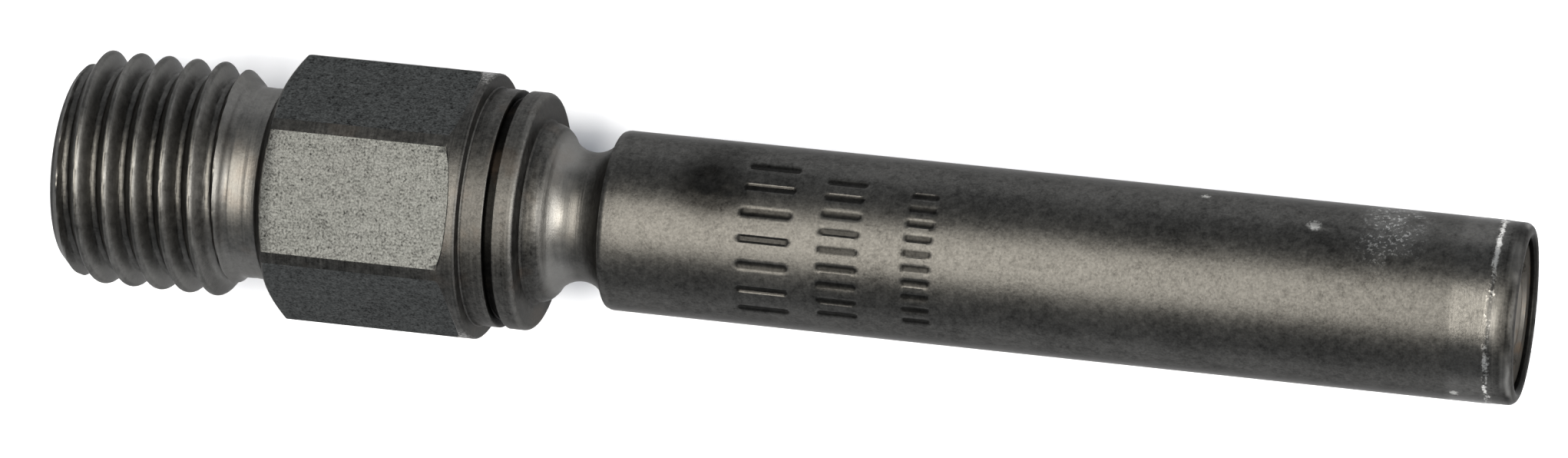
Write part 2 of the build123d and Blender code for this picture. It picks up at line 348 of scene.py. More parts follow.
# ---- Geometry Nodes for what repeats
def new_tree(name, inputs):
    """A geometry tree with a Geometry input and output and named number inputs."""
    tree = bpy.data.node_groups.new(name, "GeometryNodeTree")
    tree.interface.new_socket("Geometry", in_out="INPUT", socket_type="NodeSocketGeometry")
    for label, value in inputs.items():
        kind = "NodeSocketInt" if isinstance(value, int) else "NodeSocketFloat"
        tree.interface.new_socket(label, in_out="INPUT", socket_type=kind).default_value = value
    tree.interface.new_socket("Material", in_out="INPUT", socket_type="NodeSocketMaterial")
    tree.interface.new_socket("Geometry", in_out="OUTPUT", socket_type="NodeSocketGeometry")
    return tree, tree.nodes.new("NodeGroupInput").outputs, tree.nodes.new("NodeGroupOutput")


def finish_tree(tree, geometry, inputs, out):
    """Ends a tree in Realize Instances and Set Material."""
    whole = node(tree, "GeometryNodeRealizeInstances")
    coated = node(tree, "GeometryNodeSetMaterial")
    tree.links.new(geometry, whole.inputs[0])
    tree.links.new(whole.outputs[0], coated.inputs["Geometry"])
    tree.links.new(inputs["Material"], coated.inputs["Material"])
    tree.links.new(coated.outputs[0], out.inputs[0])
    return tree


def bake(piece, tree, name, **values):
    """Runs the tree on the piece once and gives it the result as a plain mesh."""
    modifier = piece.modifiers.new(tree.name, "NODES")
    modifier.node_group = tree
    named = {item.name: item for item in tree.interface.items_tree if item.in_out == "INPUT"}
    for label, value in values.items():
        modifier[named[label.replace("_", " ")].identifier] = value
    ready = piece.evaluated_get(bpy.context.evaluated_depsgraph_get())
    mesh = bpy.data.meshes.new_from_object(ready)
    piece.modifiers.clear()
    piece.data = mesh
    mesh.name = name
    return piece


def move_to_radius(tree, geometry, place, wanted):
    """Moves each point straight out or in to the wanted radius, in mm."""
    out = calc(tree, "MULTIPLY", wanted, MM)
    along = calc(tree, "MULTIPLY", place.x, MM)
    point = vector(tree, along, product(tree, place.sine, out), product(tree, place.cosine, out))
    moved = node(tree, "GeometryNodeSetPosition")
    tree.links.new(geometry, moved.inputs["Geometry"])
    tree.links.new(point, moved.inputs["Position"])
    return moved.outputs[0]


def thread_tree():
    """Cuts a rounded 60 degree thread into the inlet, running out through the cone behind it."""
    tree, given, out = new_tree("inlet_thread", {
        "Pitch": 1.5, "Major Radius": THREAD_MAJOR, "Depth": 0.84, "Crest Half": 0.1,
        "Rounding": 0.22, "Crest Start": 1.2, "Thread End": 9.3, "Bore Limit": 4.8,
    })
    place = Place(tree, node(tree, "GeometryNodeInputPosition").outputs[0])
    turn = calc(tree, "DIVIDE", calc(tree, "ARCTAN2", place.z, place.y), 2 * math.pi)
    past_start = calc(tree, "SUBTRACT", place.x, given["Crest Start"])
    along = calc(tree, "DIVIDE", past_start, given["Pitch"])
    phase = calc(tree, "FRACT", calc(tree, "SUBTRACT", along, turn))
    nearest = calc(tree, "MINIMUM", phase, calc(tree, "SUBTRACT", 1.0, phase))
    from_crest = product(tree, nearest, given["Pitch"])
    off_crest = calc(tree, "SUBTRACT", from_crest, given["Crest Half"])
    flank = product(tree, off_crest, FLANK_SLOPE)
    crest = calc(tree, "SMOOTH_MAX", flank, 0.0, given["Rounding"])
    drop = calc(tree, "SMOOTH_MIN", crest, given["Depth"], given["Rounding"])
    cut = calc(tree, "MINIMUM", place.radius, calc(tree, "SUBTRACT", given["Major Radius"], drop))
    threaded = product(
        tree,
        calc(tree, "GREATER_THAN", place.radius, given["Bore Limit"]),
        calc(tree, "LESS_THAN", place.x, given["Thread End"]),
    )
    change = product(tree, calc(tree, "SUBTRACT", cut, place.radius), threaded)
    wanted = total(tree, place.radius, change)
    return finish_tree(tree, move_to_radius(tree, given["Geometry"], place, wanted), given, out)


def tally_tree():
    """Presses one band of plain parallel bars into the barrel, side by side round it."""
    tree, given, out = new_tree("tally_band", {
        "Band Middle": 37.0, "Bar Length": 2.2, "Bar Width": 0.3, "Bar Spacing": 18.0,
        "Bar Count": 6.0, "First Bar": 0.0, "Press Depth": 0.06, "Soft Edge": 0.12,
        "Barrel Limit": 4.3,
    })
    place = Place(tree, node(tree, "GeometryNodeInputPosition").outputs[0])
    degrees = product(tree, calc(tree, "ARCTAN2", place.y, place.z), 180 / math.pi)
    past_first = calc(tree, "SUBTRACT", degrees, given["First Bar"])
    cell = calc(tree, "DIVIDE", past_first, given["Bar Spacing"])
    index = calc(tree, "ROUND", cell)
    off_bar = calc(tree, "SUBTRACT", cell, index)
    off_turn = product(tree, off_bar, given["Bar Spacing"], math.pi / 180)
    across = product(tree, off_turn, place.radius)
    along = calc(tree, "ABSOLUTE", calc(tree, "SUBTRACT", place.x, given["Band Middle"]))
    half_length = product(tree, given["Bar Length"], 0.5)
    past = calc(tree, "MAXIMUM", calc(tree, "SUBTRACT", along, half_length), 0.0)
    squares = total(tree, product(tree, across, across), product(tree, past, past))
    reach = calc(tree, "SQRT", squares)
    half = product(tree, given["Bar Width"], 0.5)
    soft = product(tree, given["Soft Edge"], 0.5)
    pressed = glide(tree, reach, total(tree, half, soft), calc(tree, "SUBTRACT", half, soft))
    counted = product(
        tree,
        calc(tree, "GREATER_THAN", index, -0.5),
        calc(tree, "LESS_THAN", index, calc(tree, "SUBTRACT", given["Bar Count"], 0.5)),
        calc(tree, "GREATER_THAN", place.radius, given["Barrel Limit"]),
    )
    dent = product(tree, pressed, counted, given["Press Depth"])
    wanted = calc(tree, "SUBTRACT", place.radius, dent)
    return finish_tree(tree, move_to_radius(tree, given["Geometry"], place, wanted), given, out)


def swept_wire(tree, path, wire_radius, sides):
    """A round wire along a path."""
    ring = node(tree, "GeometryNodeCurvePrimitiveCircle")
    feed(tree, ring.inputs["Resolution"], sides)
    feed(tree, ring.inputs["Radius"], product(tree, wire_radius, MM))
    tube = node(tree, "GeometryNodeCurveToMesh")
    tree.links.new(path, tube.inputs["Curve"])
    tree.links.new(ring.outputs[0], tube.inputs["Profile Curve"])
    tube.inputs["Fill Caps"].default_value = True
    return tube.outputs[0]


def spring_tree():
    """A compression spring with closed ends, wound as a helix whose pitch shrinks at both ends."""
    tree, given, out = new_tree("wound_spring", {
        "First X": 49.8, "Last X": 59.9, "Mean Radius": 2.35, "Wire Radius": 0.3, "Turns": 8.5,
        "Closed Share": 0.1, "Points": 420,
    })
    line = node(tree, "GeometryNodeMeshLine", mode="OFFSET")
    tree.links.new(given["Points"], line.inputs["Count"])
    index = node(tree, "GeometryNodeInputIndex").outputs[0]
    share = calc(tree, "DIVIDE", index, calc(tree, "SUBTRACT", given["Points"], 1.0))
    turn = product(tree, share, given["Turns"], 2 * math.pi)
    closed = given["Closed Share"]
    open_share = calc(tree, "SUBTRACT", 1.0, product(tree, closed, 2.0))
    even = calc(tree, "DIVIDE", calc(tree, "SUBTRACT", share, closed), open_share, clamp=True)
    eased = total(tree, product(tree, even, 0.9), product(tree, share, 0.1))
    rise = product(tree, eased, calc(tree, "SUBTRACT", given["Last X"], given["First X"]))
    radius = product(tree, given["Mean Radius"], MM)
    point = vector(
        tree,
        product(tree, total(tree, given["First X"], rise), MM),
        product(tree, calc(tree, "COSINE", turn), radius),
        product(tree, calc(tree, "SINE", turn), radius),
    )
    placed = node(tree, "GeometryNodeSetPosition")
    tree.links.new(line.outputs[0], placed.inputs["Geometry"])
    tree.links.new(point, placed.inputs["Position"])
    path = node(tree, "GeometryNodeMeshToCurve")
    tree.links.new(placed.outputs[0], path.inputs[0])
    wire = swept_wire(tree, path.outputs[0], given["Wire Radius"], 12)
    return finish_tree(tree, wire, given, out)


def gauze_tree():
    """A sleeve of woven wire: hoops round the axis, and wires that weave over and under them."""
    tree, given, out = new_tree("woven_sleeve", {
        "Start X": 6.44, "Length": 5.92, "Sleeve Radius": 2.245, "Wire Radius": 0.026,
        "Hoop Count": 42, "Wire Count": 72, "Weave Height": 0.024,
    })
    radius = product(tree, given["Sleeve Radius"], MM)
    gaps = calc(tree, "SUBTRACT", given["Hoop Count"], 1.0)
    pitch = calc(tree, "DIVIDE", given["Length"], gaps)
    hoop = node(tree, "GeometryNodeCurvePrimitiveCircle")
    hoop.inputs["Resolution"].default_value = 48
    tree.links.new(radius, hoop.inputs["Radius"])
    upright = node(tree, "GeometryNodeTransform")
    hoop_wire = swept_wire(tree, hoop.outputs[0], given["Wire Radius"], 4)
    tree.links.new(hoop_wire, upright.inputs["Geometry"])
    upright.inputs["Rotation"].default_value = (0, math.pi / 2, 0)
    rail = node(tree, "GeometryNodeMeshLine", mode="OFFSET")
    tree.links.new(given["Hoop Count"], rail.inputs["Count"])
    start = vector(tree, product(tree, given["Start X"], MM), 0.0, 0.0)
    tree.links.new(start, rail.inputs["Start Location"])
    tree.links.new(vector(tree, product(tree, pitch, MM), 0.0, 0.0), rail.inputs["Offset"])
    hoops = node(tree, "GeometryNodeInstanceOnPoints")
    tree.links.new(rail.outputs[0], hoops.inputs["Points"])
    tree.links.new(upright.outputs[0], hoops.inputs["Instance"])

    warp = node(tree, "GeometryNodeMeshLine", mode="OFFSET")
    steps = calc(tree, "ADD", product(tree, gaps, 4.0), 1.0)
    tree.links.new(steps, warp.inputs["Count"])
    index = node(tree, "GeometryNodeInputIndex").outputs[0]
    wave = calc(tree, "COSINE", product(tree, index, math.pi / 4))
    height = total(tree, given["Sleeve Radius"], product(tree, wave, given["Weave Height"], 2.0))
    at = total(tree, given["Start X"], product(tree, index, pitch, 0.25))
    bent = node(tree, "GeometryNodeSetPosition")
    tree.links.new(warp.outputs[0], bent.inputs["Geometry"])
    point = vector(tree, product(tree, at, MM), 0.0, product(tree, height, MM))
    tree.links.new(point, bent.inputs["Position"])
    path = node(tree, "GeometryNodeMeshToCurve")
    tree.links.new(bent.outputs[0], path.inputs[0])
    ring = node(tree, "GeometryNodeMeshLine", mode="OFFSET")
    tree.links.new(given["Wire Count"], ring.inputs["Count"])
    ring.inputs["Offset"].default_value = (0, 0, 0)
    wires = node(tree, "GeometryNodeInstanceOnPoints")
    tree.links.new(ring.outputs[0], wires.inputs["Points"])
    woven = swept_wire(tree, path.outputs[0], given["Wire Radius"], 3)
    tree.links.new(woven, wires.inputs["Instance"])
    between_wires = calc(tree, "DIVIDE", 2 * math.pi, given["Wire Count"])
    spin = product(tree, node(tree, "GeometryNodeInputIndex").outputs[0], between_wires)
    tree.links.new(vector(tree, spin, 0.0, 0.0), wires.inputs["Rotation"])
    both = node(tree, "GeometryNodeJoinGeometry")
    tree.links.new(hoops.outputs[0], both.inputs[0])
    tree.links.new(wires.outputs[0], both.inputs[0])
    return finish_tree(tree, both.outputs[0], given, out)


# ---- finishes
LEAST_BRIGHT, LEAST_ROUGH, MOST_ROUGH = 0.08, 0.12, 0.85


class Finish:
    """A metal surface being built up from its colour, brightness, roughness and relief."""

    def __init__(self, name, colour, roughness, edge_tint=1.0):
        self.material = bpy.data.materials.new(name)
        self.material.use_nodes = True
        self.tree = self.material.node_tree
        self.shader = self.tree.nodes["Principled BSDF"]
        self.shader.inputs["Metallic"].default_value = 1.0
        self.shader.inputs["Specular Tint"].default_value = (edge_tint, edge_tint, edge_tint, 1)
        self.material.diffuse_color = (*colour, 1)
        self.place = Place(self.tree, node(self.tree, "ShaderNodeTexCoord").outputs["Object"])
        self.colour, self.bright, self.rough, self.relief = (*colour, 1), 1.0, roughness, 0.0
        self.stains = []

    def grain(self, scale, detail=2.0, harshness=0.55, spot=None):
        """Noise of a given number of grains to the mm, from -0.5 to 0.5."""
        made = node(self.tree, "ShaderNodeTexNoise")
        feed(self.tree, made.inputs["Vector"], spot if spot else self.place.spot)
        made.inputs["Scale"].default_value = scale
        made.inputs["Detail"].default_value = detail
        made.inputs["Roughness"].default_value = harshness
        return calc(self.tree, "SUBTRACT", made.outputs[0], 0.5)

    def marks(self, across, around, detail):
        """Noise drawn out round the axis."""
        tree, place = self.tree, self.place
        sine, cosine = product(tree, place.sine, around), product(tree, place.cosine, around)
        return self.grain(1.0, detail, 0.6, vector(tree, across, sine, cosine))

    def turned(self, along, around, detail=3.0):
        """Fine marks that run round the axis."""
        return self.marks(product(self.tree, self.place.x, along), around, detail)

    def faced(self, outwards, around, detail=3.0):
        """Fine marks that run round a turned end face."""
        return self.marks(product(self.tree, self.place.radius, outwards), around, detail)

    def specks(self, scale, size):
        """Small separate spots, 1 at their middle."""
        made = node(self.tree, "ShaderNodeTexVoronoi")
        tree = self.tree
        tree.links.new(self.place.spot, made.inputs["Vector"])
        made.inputs["Scale"].default_value = scale
        return glide(tree, made.outputs["Distance"], size, size * 0.3)

    def brighten(self, *terms):
        self.bright = total(self.tree, self.bright, product(self.tree, *terms))

    def darken(self, mask, keep):
        """Multiplies the brightness by keep where the mask is 1."""
        share = total(self.tree, 1.0, product(self.tree, mask, keep - 1.0))
        self.bright = product(self.tree, self.bright, share)

    def roughen(self, *terms):
        self.rough = total(self.tree, self.rough, product(self.tree, *terms))

    def raise_by(self, *terms):
        self.relief = total(self.tree, self.relief, product(self.tree, *terms))

    def stain(self, mask, colour):
        self.stains.append((mask, (*colour, 1)))

    def done(self, relief_mm=0.01, strength=1.0):
        tree, shader = self.tree, self.shader
        scaled = node(tree, "ShaderNodeVectorMath", operation="SCALE")
        scaled.inputs[0].default_value = self.colour[:3]
        feed(tree, scaled.inputs["Scale"], calc(tree, "MAXIMUM", self.bright, LEAST_BRIGHT))
        colour = scaled.outputs[0]
        for mask, tint in self.stains:
            mixed = node(tree, "ShaderNodeMix", data_type="RGBA")
            feed(tree, mixed.inputs[0], mask)
            tree.links.new(colour, mixed.inputs[6])
            mixed.inputs[7].default_value = tint
            colour = mixed.outputs[2]
        tree.links.new(colour, shader.inputs["Base Color"])
        capped = calc(tree, "MINIMUM", self.rough, MOST_ROUGH)
        feed(tree, shader.inputs["Roughness"], calc(tree, "MAXIMUM", capped, LEAST_ROUGH))
        bump = node(tree, "ShaderNodeBump")
        bump.inputs["Strength"].default_value = strength
        bump.inputs["Distance"].default_value = relief_mm * MM
        feed(tree, bump.inputs["Height"], self.relief)
        tree.links.new(bump.outputs[0], shader.inputs["Normal"])
        return self.material


# (x, y, z, reach) of the pale spots on the barrel
STRAY_SPOTS = ((64.1, 3.43, 2.98, 0.42), (58.4, 4.26, 1.58, 0.26), (71.6, -4.05, 2.07, 0.3))


def blackened_steel():
    """Dark oxide over turned steel, worn bright at some rims, with painted highlights on others
    and painted shade in the grooves and corners.
    """
    f = Finish("blackened_steel", (0.038, 0.0378, 0.0366), 0.4, edge_tint=0.5)
    t, p = f.tree, f.place
    blotch, grain, fine = f.grain(0.22, 3.0), f.grain(2.6, 4.0, 0.65), f.grain(8.0, 2.0)
    marks, coarse = f.turned(11.0, 0.9), f.turned(3.2, 0.4, 2.0)
    turned_zone = total(t, band(t, p.x, 9.2, 28.6, 0.2), band(t, p.x, 72.9, 75.0, 0.1), 0.22)
    f.brighten(blotch, 0.9)
    f.brighten(grain, 1.5)
    f.brighten(fine, 1.1)
    f.brighten(marks, turned_zone, 0.7)
    f.brighten(coarse, turned_zone, 0.5)
    f.roughen(grain, 0.16)
    f.roughen(marks, turned_zone, 0.12)
    f.roughen(blotch, 0.14)
    f.raise_by(grain, 0.8)
    f.raise_by(fine, 0.5)
    f.raise_by(marks, turned_zone, 0.9)

    outside = glide(t, p.radius, BORE_SIDE, OUTER_SIDE)
    inside = glide(t, p.radius, OUTER_SIDE, BORE_SIDE)
    thread_zone = product(t, glide(t, p.x, SHOULDER_X + 0.2, SHOULDER_X - 0.3), outside)
    dirt_and_painted_light(f, thread_zone, outside, inside, blotch)
    wear_and_painted_light_at_inlet_end(f, thread_zone, fine)
    wear_and_painted_light_at_tip(f, outside, inside, fine)
    spot_and_stain(f, outside, fine)
    return f.done(relief_mm=0.014, strength=0.55)


def dirt_and_painted_light(f, thread_zone, outside, inside, blotch):
    """Painted light on the thread flanks; painted shade in the collar groove, at the flange step,
    at the foot of the collar face and inside the mouth; a darker bore; dirt in the pressed bars
    and one smudge.
    """
    t, p = f.tree, f.place
    # painted light on the thread flanks
    f.brighten(product(t, thread_zone, band(t, p.radius, 5.2, 5.8, 0.06)), 0.9)
    # painted shade in the collar groove
    f.darken(product(t, band(t, p.x, 22.9, 23.5, 0.05), glide(t, p.radius, 6.0, 5.8)), 0.12)
    # painted shade at the foot of the collar face, where the collar shades the land
    f.darken(product(t, band(t, p.x, 24.4, 24.66, 0.08), glide(t, p.radius, 5.2, 4.6)), 0.6)
    # painted shade at the step from the flange down to the collar
    f.darken(band(t, p.x, 21.6, 21.86, 0.05), 0.75)
    # painted shade inside the lip of the mouth
    f.darken(product(t, glide(t, p.x, 73.5, 74.0), glide(t, p.radius, 4.0, 3.86)), 0.3)
    bars = product(t, band(t, p.x, 35.4, 45.8, 0.1), outside, glide(t, p.radius, 4.545, 4.505))
    f.darken(bars, 0.3)
    # darker inside the bore
    f.darken(inside, 0.7)
    sideways, beside = calc(t, "SUBTRACT", p.x, 33.8), calc(t, "SUBTRACT", p.y, 2.6)
    squares = total(t, product(t, sideways, sideways), product(t, beside, beside, 1.4))
    from_dent = total(t, calc(t, "SQRT", squares), product(t, blotch, 2.0))
    f.darken(product(t, glide(t, from_dent, 2.7, 0.5), glide(t, p.z, 0.0, 1.5)), 0.36)


def wear_and_painted_light_at_inlet_end(f, thread_zone, fine):
    """Worn bright crests and barrel edge; the two side corners of the hexagon worn and with a
    painted highlight; painted highlights on the collar rim, the cove and the undercut.
    """
    t, p = f.tree, f.place
    ragged = glide(t, f.turned(1.2, 2.4, 3.0), -0.04, 0.06)
    crest = product(t, thread_zone, glide(t, p.radius, 5.72, 5.94), total(t, 0.6, ragged))
    f.brighten(crest, 0.5)
    # the two hexagon corners at the sides: wear with a painted highlight
    corner = product(
        t,
        glide(t, calc(t, "ABSOLUTE", p.y), 6.1, 6.5),
        glide(t, p.radius, 6.6, 6.72),
        band(t, p.x, 20.3, 21.7, 0.25),
        glide(t, fine, -0.02, 0.12),
    )
    f.brighten(corner, 4.0)
    # painted highlight on the collar rim
    f.brighten(product(t, band(t, p.x, 24.2, 24.42, 0.07), glide(t, p.radius, 5.7, 5.95)), 0.5)
    f.brighten(band(t, p.x, 28.6, 28.85, 0.06), ragged, 0.3)
    # painted light on the cove, strongest on its wall towards the collar
    cove = product(t, band(t, p.x, 25.5, 28.3, 0.25), glide(t, p.radius, 4.54, 4.3))
    f.brighten(cove, glide(t, p.x, 26.2, 27.1, 2.0, 0.75))
    f.roughen(cove, -0.05)
    f.roughen(band(t, p.x, 21.7, 25.2, 0.1), 0.08)
    # painted light on the cone and undercut between the thread and the hexagon
    f.brighten(product(t, band(t, p.x, 8.3, 10.8, 0.2), glide(t, p.radius, 5.9, 5.5)), 0.95)
    f.roughen(corner, -0.08)


def wear_and_painted_light_at_tip(f, outside, inside, fine):
    """The broken bright ring of the crimp, worn; a painted highlight at the top of the crimp,
    painted shade over the lip, painted highlights on the lip's sides, and scuffs and polish round
    the mouth.
    """
    t, p = f.tree, f.place
    off_side = calc(t, "ABSOLUTE", p.y)
    broken = glide(t, total(t, f.turned(1.4, 2.6, 3.0), product(t, fine, 0.5)), -0.08, 0.1)
    wavy = total(t, p.x, product(t, f.grain(1.6, 4.0, 0.7), 0.7))
    ring = product(t, band(t, wavy, CRIMP_X - 0.08, CRIMP_X + 0.14, 0.08), broken, outside)
    f.brighten(ring, 9.0)
    # painted highlight at the front top of the crimp
    painted_highlight_spot = product(
        t,
        band(t, p.x, 73.15, 73.6, 0.18),
        glide(t, calc(t, "ABSOLUTE", total(t, p.y, 0.25)), 1.6, 0.1),
        glide(t, p.z, 3.0, 4.0),
    )
    f.brighten(painted_highlight_spot, 1.6)
    # painted shade over the lip
    f.darken(product(t, glide(t, p.x, 73.5, 74.2), outside), 0.4)
    # painted highlights on the upper sides of the lip
    shoulders = product(
        t,
        band(t, p.x, 73.9, 74.35, 0.12),
        band(t, off_side, 1.7, 3.6, 0.5),
        glide(t, p.z, 0.0, 1.5),
    )
    f.brighten(shoulders, 1.1)
    scuffed = glide(t, f.turned(0.6, 1.3, 2.0), -0.02, 0.1)
    f.brighten(product(t, band(t, p.x, 74.15, 74.4, 0.12), scuffed, outside), 2.2)
    polish = product(t, glide(t, p.x, 71.0, 71.5), glide(t, p.x, 73.6, 73.2), outside)
    f.brighten(polish, 0.3)
    f.roughen(polish, -0.07)
    f.roughen(ring, -0.08)
    f.roughen(inside, 0.08)


def spot_and_stain(f, outside, fine):
    """Pale corrosion near the tip, a few stray spots, and warm stains by the hexagon."""
    t, p = f.tree, f.place
    specks = glide(t, f.grain(5.5, 2.0, 0.7), 0.03, 0.16)
    cloudy = glide(t, f.grain(0.7, 2.0), -0.1, 0.06)
    patch = product(t, band(t, p.x, 66.7, 69.2, 0.9), cloudy, glide(t, p.y, 1.2, 3.0), outside)
    f.stain(product(t, total(t, specks, 0.15), patch, 0.75), (0.24, 0.243, 0.24))
    for x, y, z, reach in STRAY_SPOTS:
        away = node(t, "ShaderNodeVectorMath", operation="DISTANCE")
        t.links.new(p.spot, away.inputs[0])
        away.inputs[1].default_value = (x, y, z)
        rough_edge = total(t, away.outputs["Value"], product(t, fine, 0.5))
        f.stain(product(t, glide(t, rough_edge, reach, reach * 0.3), 0.7), (0.3, 0.3, 0.29))
    warm = glide(t, f.grain(0.45, 3.0), 0.04, 0.2)
    f.stain(product(t, band(t, p.x, 8.6, 28.2, 0.5), warm, 0.16), (0.07, 0.05, 0.036))


def milled_flat():
    """The hexagon's faces: the same dark steel with a mottled, speckled mill finish."""
    f = Finish("milled_flat", (0.0355, 0.0375, 0.0375), 0.41, edge_tint=0.5)
    t, p = f.tree, f.place
    mottle, fine, blotch = f.grain(3.4, 4.0, 0.7), f.grain(9.0, 2.0), f.grain(0.5, 2.0)
    f.brighten(mottle, 2.4)
    f.brighten(fine, 3.0)
    f.brighten(blotch, 0.4)
    # painted shade: every flat but the top one is darker
    f.darken(glide(t, p.z, 5.95, 5.8), 0.78)
    f.darken(product(t, f.specks(4.0, 0.22), glide(t, mottle, 0.0, 0.12)), 0.62)
    f.roughen(mottle, 0.2)
    f.roughen(fine, 0.1)
    streaks = vector(t, product(t, p.x, 0.5), product(t, p.y, 7.0), product(t, p.z, 7.0))
    scored = f.grain(1.0, 2.0, 0.5, streaks)
    f.brighten(scored, 0.35)
    f.raise_by(mottle, 0.8)
    f.raise_by(fine, 0.8)
    f.raise_by(scored, 0.5)
    return f.done(relief_mm=0.012, strength=0.5)


def ground_steel():
    """Bright ground steel of the valve, with grinding marks and a brown film of old fuel."""
    f = Finish("ground_steel", (0.42, 0.415, 0.40), 0.3)
    t, p = f.tree, f.place
    marks, faced, grain = f.turned(14.0, 1.2), f.faced(12.0, 1.2), f.grain(4.0, 3.0)
    for term, share in ((marks, 0.3), (faced, 0.35), (grain, 0.35), (f.grain(0.8, 3.0), 0.4)):
        f.brighten(term, share)
    f.roughen(total(t, marks, faced), 0.16)
    f.roughen(grain, 0.14)
    f.raise_by(total(t, marks, faced), 0.8)
    f.raise_by(grain, 0.4)
    f.darken(glide(t, p.radius, 3.3, 3.6), 0.45)
    f.darken(product(t, glide(t, p.radius, 1.9, 1.6), glide(t, p.x, 73.0, 73.4)), 0.75)
    f.stain(product(t, glide(t, f.grain(1.1, 3.0), 0.0, 0.2), 0.45), (0.13, 0.095, 0.06))
    return f.done(relief_mm=0.008, strength=0.5)


def sooted_steel():
    """The nozzle and the needle's head, black with burnt fuel."""
    f = Finish("sooted_steel", (0.05, 0.048, 0.045), 0.55, edge_tint=0.12)
    t, p = f.tree, f.place
    faced, grain, blotch = f.faced(9.0, 1.0), f.grain(4.0, 3.0), f.grain(0.9, 3.0)
    for term, share in ((faced, 0.5), (grain, 0.5), (blotch, 0.9)):
        f.brighten(term, share)
    f.brighten(glide(t, p.radius, 1.75, 1.2), 1.6)
    f.brighten(glide(t, p.x, 72.0, 70.0), 6.0)
    # painted shade on the nozzle's rim under the lip of the mouth
    f.darken(glide(t, p.radius, 3.2, 3.7), 0.35)
    f.roughen(grain, 0.2)
    f.raise_by(faced, 0.7)
    f.raise_by(grain, 0.7)
    f.stain(product(t, glide(t, blotch, 0.04, 0.18), 0.5), (0.06, 0.042, 0.028))
    return f.done(relief_mm=0.01, strength=0.5)


def brass():
    """Machined brass of the filter, dulled by fuel."""
    f = Finish("brass", (0.62, 0.43, 0.17), 0.3)
    t = f.tree
    marks, faced = f.turned(10.0, 1.0), f.faced(9.0, 1.0)
    grain, blotch = f.grain(5.0, 3.0), f.grain(0.9, 3.0)
    for term, share in ((marks, 0.25), (faced, 0.3), (grain, 0.3), (blotch, 0.45)):
        f.brighten(term, share)
    f.roughen(total(t, marks, faced), 0.15)
    f.roughen(blotch, 0.2)
    f.raise_by(total(t, marks, faced), 0.8)
    f.raise_by(grain, 0.3)
    f.stain(product(t, glide(t, blotch, 0.04, 0.2), 0.55), (0.2, 0.115, 0.045))
    return f.done(relief_mm=0.008, strength=0.5)


def steel_gauze():
    """Fine drawn wire of the filter sleeve, darker where the wires dip inward, with blotches of
    brown residue.
    """
    f = Finish("steel_gauze", (0.45, 0.44, 0.41), 0.35)
    t, p = f.tree, f.place
    grain, blotch = f.grain(7.0, 2.0), f.grain(0.9, 3.0)
    f.brighten(grain, 0.4)
    f.brighten(blotch, 0.8)
    f.roughen(grain, 0.2)
    f.raise_by(grain, 1.0)
    # darker where the wires dip inward
    f.darken(glide(t, p.radius, 2.25, 2.2), 0.6)
    f.stain(product(t, glide(t, blotch, 0.02, 0.16), 0.5), (0.16, 0.11, 0.06))
    return f.done(relief_mm=0.004, strength=0.4)


def copper():
    """Annealed copper of the sealing washer, darkened where it isn't squeezed."""
    f = Finish("copper", (0.62, 0.27, 0.15), 0.38)
    t = f.tree
    faced, grain, blotch = f.faced(9.0, 0.9), f.grain(5.0, 3.0), f.grain(0.8, 3.0)
    for term, share in ((faced, 0.3), (grain, 0.4), (blotch, 0.5)):
        f.brighten(term, share)
    f.roughen(grain, 0.2)
    f.raise_by(faced, 0.6)
    f.raise_by(grain, 0.6)
    f.stain(product(t, glide(t, blotch, 0.02, 0.18), 0.6), (0.16, 0.075, 0.05))
    return f.done(relief_mm=0.01, strength=0.5)


def spring_steel():
    """Drawn and oil-blued wire, rubbed bright on its outside."""
    f = Finish("spring_steel", (0.16, 0.15, 0.145), 0.34)
    t, p = f.tree, f.place
    grain, blotch, drawn = f.grain(6.0, 3.0), f.grain(0.8, 2.0), f.faced(14.0, 0.6)
    for term, share in ((grain, 0.4), (blotch, 0.5), (drawn, 0.5)):
        f.brighten(term, share)
    f.brighten(glide(t, p.radius, 2.56, 2.65), 0.8)
    f.roughen(grain, 0.2)
    f.raise_by(drawn, 0.8)
    f.raise_by(grain, 0.4)
    f.stain(product(t, glide(t, blotch, 0.04, 0.2), 0.4), (0.07, 0.06, 0.09))
    return f.done(relief_mm=0.006, strength=0.5)


FINISHES = {
    "blackened_steel": blackened_steel(),
    "ground_steel": ground_steel(),
    "brass": brass(),
    "steel_gauze": steel_gauze(),
    "copper": copper(),
    "spring_steel": spring_steel(),
    "sooted_steel": sooted_steel(),
}
MILLED = milled_flat()


# ---- pieces
FLAT_STEPS, LAND_STEPS = 40, 3
MERGE_DISTANCE = 1e-6
FLATS_LIMIT_X, FLATS_INNER_RADIUS = 21.4, 5.8
LEAST_FORWARD, FACES_THE_FLAT = -0.3, 0.9998
BAR_WIDTH = 0.34
# (middle, bar length, spacing in degrees, count, first bar in degrees, depth) of each pressed band
TALLY_BANDS = (
    (36.95, 2.3, 17.0, 7.0, -51.0, 0.07),
    (40.75, 1.7, 11.5, 9.0, -48.0, 0.055),
    (44.75, 1.1, 9.5, 10.0, -46.0, 0.05),
)


def mill_the_flats(mesh):
    """Gives the milled finish to every face that lies in one of the six flats."""
    mesh.materials.append(MILLED)
    for face in mesh.polygons:
        x, y, z = face.center / MM
        along_flats = HEX_FACE_X < x < FLATS_LIMIT_X and face.normal.x > LEAST_FORWARD
        if along_flats and math.hypot(y, z) > FLATS_INNER_RADIUS:
            side = round(math.atan2(y, z) / SIXTH_TURN) * SIXTH_TURN
            facing = face.normal.y * math.sin(side) + face.normal.z * math.cos(side)
            if facing > FACES_THE_FLAT:
                face.material_index = 1


